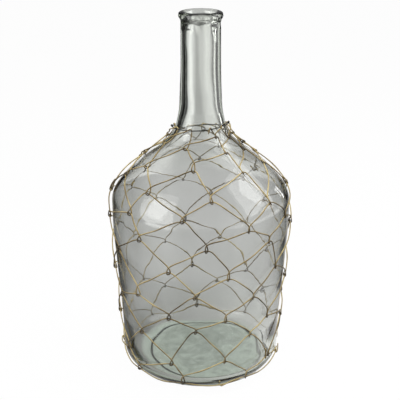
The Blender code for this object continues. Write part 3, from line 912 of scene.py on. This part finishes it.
def glass_material(glass):
    """Smoky glass that takes up light along its thickness, with faint ripples and smudges on its skin."""
    material, tree, shader = blank_material("smoky_glass")
    place = add_node(tree, "ShaderNodeTexCoord").outputs["Object"]
    smudges = noise(tree, place, scale=26.0, detail=5.0, roughness=0.7)
    ripples = noise(tree, scaled(tree, place, SKIN_SCALE), scale=60.0, detail=2.0)
    fill_inputs(tree, shader, {
        "Base Color": GLASS_COLOUR,
        "Transmission Weight": 1.0,
        "IOR": GLASS_IOR,
        "Roughness": mapped(tree, smudges, (0.55, 0.8), (0.0, 0.05)),
        "Normal": bumped(tree, ripples, strength=0.25, distance=0.0005),
    })
    inputs = {"Color": (*glass.tint, 1.0), "Density": glass.smoke}
    smoke = add_node(tree, "ShaderNodeVolumeAbsorption", inputs).outputs["Volume"]
    tree.links.new(smoke, tree.nodes["Material Output"].inputs["Volume"])
    return material


def cane_material(net):
    """Dry cane: long fibres, paler and browner stretches, and dark stains with painted shade where it is
    knotted.

    Its tone is the sum of the fibres' pattern and, each by its weight, the stretches' pattern, the nearness
    of a knot, which adds stain and painted shade, and how far the skin faces the way of the painted light,
    which is up and a little inwards.
    """
    material, tree, shader = blank_material("cane")
    place = add_node(tree, "ShaderNodeTexCoord").outputs
    fibres = noise(tree, scaled(tree, place["UV"], FIBRE_SCALE), scale=1.0, detail=4.0, roughness=0.65)
    stretches = noise(tree, place["Object"], scale=24.0, detail=2.0)
    # Near a knot the cane darkens: a stain, and painted shade where the strands cross
    knot = add_node(tree, "ShaderNodeAttribute", attribute_name="knot").outputs["Fac"]
    # Painted light: paler where the skin faces up and a little inwards, darker where it faces down and
    # outwards
    level = vector_math(tree, "MULTIPLY", place["Object"], (1.0, 1.0, 0.0))["Vector"]
    out = vector_math(tree, "NORMALIZE", level)["Vector"]
    painted_light_way = vector_math(tree, "MULTIPLY_ADD", out, OUTWARD_PAINTED_LIGHT, UPWARD_PAINTED_LIGHT)["Vector"]
    facing = vector_math(tree, "DOT_PRODUCT", place["Normal"], painted_light_way)["Value"]
    tone = fibres
    for pattern, weight in ((stretches, STRETCH_WEIGHT), (knot, KNOT_STAIN_AND_SHADE_WEIGHT), (facing, PAINTED_LIGHT_WEIGHT)):
        tone = math_value(tree, "MULTIPLY_ADD", pattern, weight, tone)
    colours = map(tuple, (net.dark_colour, net.middle_colour, net.light_colour))
    fill_inputs(tree, shader, {
        "Base Color": add_ramp(tree, mapped(tree, tone, TONE_RANGE), list(zip(TONE_SHARES, colours))),
        "Roughness": mapped(tree, fibres, (0.3, 0.7), (0.42, 0.65)),
        "Normal": bumped(tree, fibres, strength=0.6, distance=0.0002),
    })
    return material


def wire_material(wire):
    """Black annealed iron, pitted, with a little bare metal where it has rubbed."""
    material, tree, shader = blank_material("black_wire")
    pits = noise(tree, add_node(tree, "ShaderNodeTexCoord").outputs["Object"], scale=900.0, detail=3.0)
    bare = tuple(BARE_IRON * part for part in wire.colour)
    fill_inputs(tree, shader, {
        "Base Color": add_ramp(tree, pits, ((0.45, tuple(wire.colour)), (0.75, bare))),
        "Metallic": 0.35,
        "Roughness": mapped(tree, pits, (0.0, 1.0), (0.3, 0.6)),
        "Normal": bumped(tree, pits, strength=0.5, distance=0.0001),
    })
    return material


def ray_kinds(tree):
    """Whether a ray is the camera's own, and whether it came off or through glass and was not scattered."""
    path = add_node(tree, "ShaderNodeLightPath").outputs
    bent = math_value(tree, "MAXIMUM", path["Is Transmission Ray"], path["Is Glossy Ray"])
    unscattered = math_value(tree, "LESS_THAN", path["Diffuse Depth"], 0.5)
    return path["Is Camera Ray"], math_value(tree, "MULTIPLY", bent, unscattered)


def azimuth_share(tree, place):
    """The share of the way round, from the front over the left, the back and the right, and the height."""
    along_x, along_y, height = add_node(tree, "ShaderNodeSeparateXYZ", {"Vector": place}).outputs
    azimuth = math_value(tree, "ARCTAN2", along_x, along_y)
    return mapped(tree, azimuth, (-math.pi, math.pi)), height


def level_colour(level):
    """The grey that stands for a brightness."""
    return (level / BRIGHTEST,) * 3 + (1.0,)


def light_ramp(tree, turn, shares):
    """A ramp of brightness by the share of the way round."""
    return add_ramp(tree, turn, [(share, level_colour(level)[:3]) for share, level in shares])


def under_light(tree, place, foot_shift):
    """The floor's colour under the bottle: painted greenish wisps of light, painted shade darkest in the
    middle, and the foot's painted contact shadow.
    """
    out = vector_math(tree, "DISTANCE", place, (foot_shift, FOOT_RING_Y, 0.0))["Value"]
    wisps = noise(tree, place, scale=45.0, detail=3.0, distortion=1.5)
    shade = math_value(tree, "MULTIPLY_ADD", out, CENTRE_SHADE, wisps)
    green = np.array(UNDER_FLOOR_COLOUR)
    wispy = add_ramp(tree, shade, [(share, green * level / BRIGHTEST) for share, level in WISP_LEVELS])
    # The foot ring's painted contact shadow
    starts = mapped(tree, out, FOOT_RING_RADII[:2], kind="SMOOTHSTEP")
    ends = mapped(tree, out, FOOT_RING_RADII[2:], (1.0, 0.0), kind="SMOOTHSTEP")
    return blended(tree, math_value(tree, "MULTIPLY", starts, ends), wispy, level_colour(FOOT_RING_LEVEL))


def floor_material(foot_shift):
    """A white floor that takes a soft shadow. The glass shows it glowing in zones and sides of painted light
    and shade.
    """
    material, tree, shader = blank_material("white_floor")
    fill_inputs(tree, shader, {
        "Base Color": FLOOR_COLOUR, "Roughness": FLOOR_ROUGHNESS, "Specular IOR Level": 0.0,
    })
    place = add_node(tree, "ShaderNodeTexCoord").outputs["Object"]
    turn, _ = azimuth_share(tree, place)
    reach = vector_math(tree, "LENGTH", place)["Value"]
    level = under_light(tree, place, foot_shift)
    # Painted light and shade, zone by zone outwards, that only the glass sees
    for radii, shares in FLOOR_ZONES:
        out = mapped(tree, reach, radii, kind="SMOOTHSTEP")
        level = blended(tree, out, level, light_ramp(tree, turn, shares))
    straight, seen = ray_kinds(tree)
    glow_share = math_value(tree, "MULTIPLY", straight, FLOOR_GLOW_SHARE)
    white = mixed_shaders(tree, glow_share, shader.outputs["BSDF"], glowing(tree, WHITE, 1.0))
    surface = mixed_shaders(tree, seen, white, glowing(tree, level, BRIGHTEST))
    tree.links.new(surface, tree.nodes["Material Output"].inputs["Surface"])
    return material


def room_light(tree):
    """The colour of the air: white to the camera, by direction in the glass, and even where it lights."""
    straight, seen = ray_kinds(tree)
    turn, up = azimuth_share(tree, add_node(tree, "ShaderNodeTexCoord").outputs["Object"])
    overhead = mapped(tree, up, (OVERHEAD_FROM, 1.0), kind="SMOOTHSTEP")
    room = blended(tree, overhead, light_ramp(tree, turn, ROOM_SHARES), level_colour(OVERHEAD_LEVEL))
    return blended(tree, straight, blended(tree, seen, level_colour(AIR_LEVEL), room), level_colour(1.0))


class BOTTLE_OT_blow_glass(bpy.types.Operator):
    """Turn the bottle from its outline, with uneven walls"""

    bl_idname = "bottle.blow_glass"
    bl_label = "Blow Glass"

    def execute(self, context):
        glass = context.scene.bottle_glass
        side = Side(glass)
        outline = bottle_outline(glass, side)
        grid = blown(glass, side, outline, np.random.default_rng(BLOWER_SEED))
        piece = wrapped_mesh("bottle_glass", [grid], glass_material(glass))
        dress(piece, "glass_bottle")
        # To the renderer glass casts a full shadow, which would leave the cane behind it dark
        piece.visible_shadow = False
        return {"FINISHED"}


class BOTTLE_OT_tie_net(bpy.types.Operator):
    """Tie the five canes of the net, hitch by hitch, and the ring round the heel"""

    bl_idname = "bottle.tie_net"
    bl_label = "Tie Net"

    def execute(self, context):
        scene = context.scene
        net = Net(Side(scene.bottle_glass), scene.bottle_net, scene.bottle_wire)
        material = cane_material(scene.bottle_net)
        routes = {"base_ring": net.ring_route()}
        starts = (0, *SPLICED_HITCHES)
        ends = (*SPLICED_HITCHES, len(net.hitches) - 1)
        for number, (first, last) in enumerate(zip(starts, ends), 1):
            routes[f"cane_strand_{number}"] = net.cane_route(first, last)
        random = np.random.default_rng(WEAVER_SEED)
        for node, route in routes.items():
            path = net.strand(route)
            along = distances(path)
            swell = 1 + THICKNESS_SHARE * waves(random, along, THICKNESS_LENGTHS)
            radii = scene.bottle_net.cane_diameter / 2 * swell
            shades = net.knot_stain_and_shade(path)
            shades = np.concatenate([shades[:1], shades, shades[-1:]])
            grid = tube_grid(path, radii, CANE_SIDES, flat=OVAL_SHARE)
            piece = wrapped_mesh("cane_" + node, [grid], material, [shades])
            dress(piece, node)
        return {"FINISHED"}


class BOTTLE_OT_twist_wire(bpy.types.Operator):
    """Lay two plies of black wire along each half of the ring round the neck's foot"""

    bl_idname = "bottle.twist_wire"
    bl_label = "Twist Wire"

    def execute(self, context):
        scene = context.scene
        wire = scene.bottle_wire
        net = Net(Side(scene.bottle_glass), scene.bottle_net, wire)
        material = wire_material(wire)
        right, left = WIRE_JOINT_ANGLES
        halves = {"neck_wire_front": (left, right), "neck_wire_back": (right, left + FULL_TURN)}
        random = np.random.default_rng(SMITH_SEED)
        for node, (start, end) in halves.items():
            path = net.wire_path(start, end)
            _, spoke, other = crossed_frames(path)
            turn = (distances(path) * math.tau / wire.lay)[:, None]
            out = np.cos(turn) * spoke + np.sin(turn) * other
            ply = wire.wire_diameter / 4
            grids = []
            for way in (1, -1):
                plied = path + way * ply * out
                wear = PLY_WEAR_SHARE * waves(random, distances(plied), PLY_WEAR_LENGTHS)
                radii = ply * (PLY_SHARE + wear)
                grids.append(tube_grid(plied, radii, PLY_SIDES))
            piece = wrapped_mesh("plied_" + node, grids, material)
            dress(piece, node)
        return {"FINISHED"}


def area_lamp(name, azimuth, elevation, distance, size, roll, power):
    """A soft lamp at an azimuth from the front and an elevation, turned towards the bottle."""
    light = bpy.data.lights.new(name, "AREA")
    light.shape = "RECTANGLE"
    light.size, light.size_y = size
    light.energy = power
    lamp = bpy.data.objects.new(name, light)
    lamp.visible_camera = False
    lamp.visible_glossy = lamp.visible_transmission = name != UNSEEN_LAMP
    turn, rise = math.radians(azimuth), math.radians(elevation)
    lamp.location = (
        distance * math.cos(rise) * math.sin(turn),
        -distance * math.cos(rise) * math.cos(turn),
        LAMP_AIM_HEIGHT + distance * math.sin(rise),
    )
    facing = Euler((math.pi / 2 - rise, 0.0, turn)).to_matrix() @ Matrix.Rotation(math.radians(roll), 3, "Z")
    lamp.rotation_euler = facing.to_euler()
    bpy.context.scene.collection.objects.link(lamp)


def round_floor(radius, material):
    """The floor: one flat face with its corners on a circle."""
    turn = np.linspace(0, math.tau, FLOOR_SIDES, endpoint=False)
    points = radius * np.column_stack([np.cos(turn), np.sin(turn), 0 * turn])
    mesh = bpy.data.meshes.new("floor")
    mesh.from_pydata(points.tolist(), [], [list(range(len(points)))])
    mesh.materials.append(material)
    floor = bpy.data.objects.new("floor", mesh)
    bpy.context.scene.collection.objects.link(floor)
    return floor


def white_room():
    """The world round the bottle."""
    world = bpy.data.worlds.new("white_room")
    world.use_nodes = True
    tree = world.node_tree
    fill_inputs(tree, tree.nodes["Background"], {"Color": room_light(tree), "Strength": BRIGHTEST})
    return world


def front_camera(studio):
    """The camera in front of the bottle, which looks down on it."""
    view = bpy.data.cameras.new("front_view")
    view.lens = studio.lens
    view.sensor_width = SENSOR_WIDTH
    camera = bpy.data.objects.new("front_view", view)
    camera.location = (studio.camera_side, -studio.camera_distance, studio.camera_height)
    camera.rotation_euler = (math.pi / 2 - studio.camera_pitch, 0.0, 0.0)
    bpy.context.scene.collection.objects.link(camera)
    return camera


class BOTTLE_OT_set_stage(bpy.types.Operator):
    """Set up the white floor, the soft lamps and the camera"""

    bl_idname = "bottle.set_stage"
    bl_label = "Set Stage"

    def execute(self, context):
        scene = context.scene
        studio = scene.bottle_studio
        floor = round_floor(studio.floor_radius, floor_material(scene.bottle_glass.foot_shift))
        for name, (*place, setting, share) in LAMPS.items():
            area_lamp(name, *place, share * getattr(studio, setting))
        scene.world = white_room()
        scene.camera = front_camera(studio)
        scene.view_settings.view_transform = "Standard"
        scene.cycles.max_bounces = GLASS_BOUNCES
        scene.cycles.transmission_bounces = GLASS_BOUNCES
        scene.cycles.glossy_bounces = GLOSSY_BOUNCES
        scene.cycles.diffuse_bounces = DIFFUSE_BOUNCES
        return {"FINISHED"}


class BOTTLE_PT_maker(bpy.types.Panel):
    """The bottle's sizes and the steps that make it"""

    bl_label = "Bottle in a Cane Net"
    bl_space_type = "VIEW_3D"
    bl_region_type = "UI"
    bl_category = "Bottle"

    def draw(self, context):
        for name, (settings, operators) in STEPS.items():
            box = self.layout.box()
            group = getattr(context.scene, name)
            for key in settings.__annotations__:
                box.prop(group, key)
            for operator in operators:
                box.operator(operator.bl_idname)


STEPS = {
    "bottle_glass": (GlassSettings, (BOTTLE_OT_blow_glass,)),
    "bottle_net": (NetSettings, (BOTTLE_OT_tie_net,)),
    "bottle_wire": (WireSettings, (BOTTLE_OT_twist_wire,)),
    "bottle_studio": (StudioSettings, (BOTTLE_OT_set_stage,)),
}


def register():
    """Makes the settings, the operators and the panel known to Blender."""
    for name, (settings, operators) in STEPS.items():
        bpy.utils.register_class(settings)
        setattr(bpy.types.Scene, name, PointerProperty(type=settings))
        for operator in operators:
            bpy.utils.register_class(operator)
    bpy.utils.register_class(BOTTLE_PT_maker)


def unregister():
    """Takes them out again, in the opposite order."""
    bpy.utils.unregister_class(BOTTLE_PT_maker)
    for name, (settings, operators) in STEPS.items():
        for operator in operators:
            bpy.utils.unregister_class(operator)
        delattr(bpy.types.Scene, name)
        bpy.utils.unregister_class(settings)


def main():
    """Makes the bottle, its net, its wire and the stage."""
    register()
    bpy.ops.bottle.blow_glass()
    bpy.ops.bottle.tie_net()
    bpy.ops.bottle.twist_wire()
    bpy.ops.bottle.set_stage()


if __name__ == "__main__":
    main()
